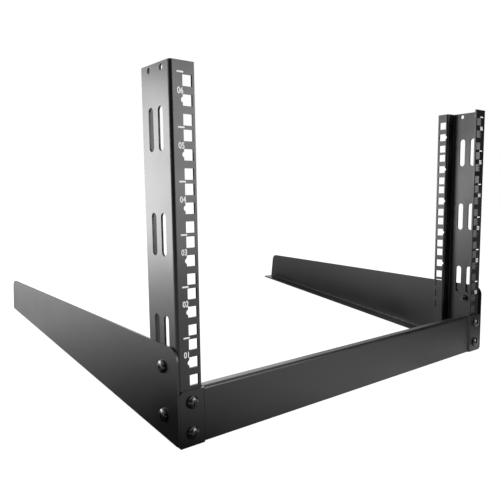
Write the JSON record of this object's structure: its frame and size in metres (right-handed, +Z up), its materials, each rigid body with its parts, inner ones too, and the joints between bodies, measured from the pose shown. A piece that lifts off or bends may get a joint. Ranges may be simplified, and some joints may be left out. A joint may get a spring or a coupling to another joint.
{
  "type": "open-frame rack",
  "caption": "Desktop open-frame rack for 19 inch equipment, with leaning perforated posts on long tapered side feet, joined by a low front beam.",
  "frame": {"origin": "middle of the bounding box, on the floor", "axes": "+X to the right seen from the front, +Y to the rear, +Z up"},
  "size_m": [0.5116, 0.445, 0.3253],
  "materials": {
    "powder_coated_sheet": "satin",
    "black_screw_steel": "gloss"
  },
  "bodies": {
    "root": {"front_beam": "powder_coated_sheet", "left_post": "powder_coated_sheet", "right_post": "powder_coated_sheet", "left_foot": "powder_coated_sheet", "right_foot": "powder_coated_sheet", "left_beam_screw_lower": "black_screw_steel", "left_beam_screw_upper": "black_screw_steel", "left_foot_screw_lower": "black_screw_steel", "left_foot_screw_upper": "black_screw_steel", "left_beam_nut_lower": "black_screw_steel", "left_beam_nut_upper": "black_screw_steel", "left_foot_nut_lower": "black_screw_steel", "left_foot_nut_upper": "black_screw_steel", "right_beam_screw_lower": "black_screw_steel", "right_beam_screw_upper": "black_screw_steel", "right_foot_screw_lower": "black_screw_steel", "right_foot_screw_upper": "black_screw_steel", "right_beam_nut_lower": "black_screw_steel", "right_beam_nut_upper": "black_screw_steel", "right_foot_nut_lower": "black_screw_steel", "right_foot_nut_upper": "black_screw_steel"}
  },
  "joints": []
}
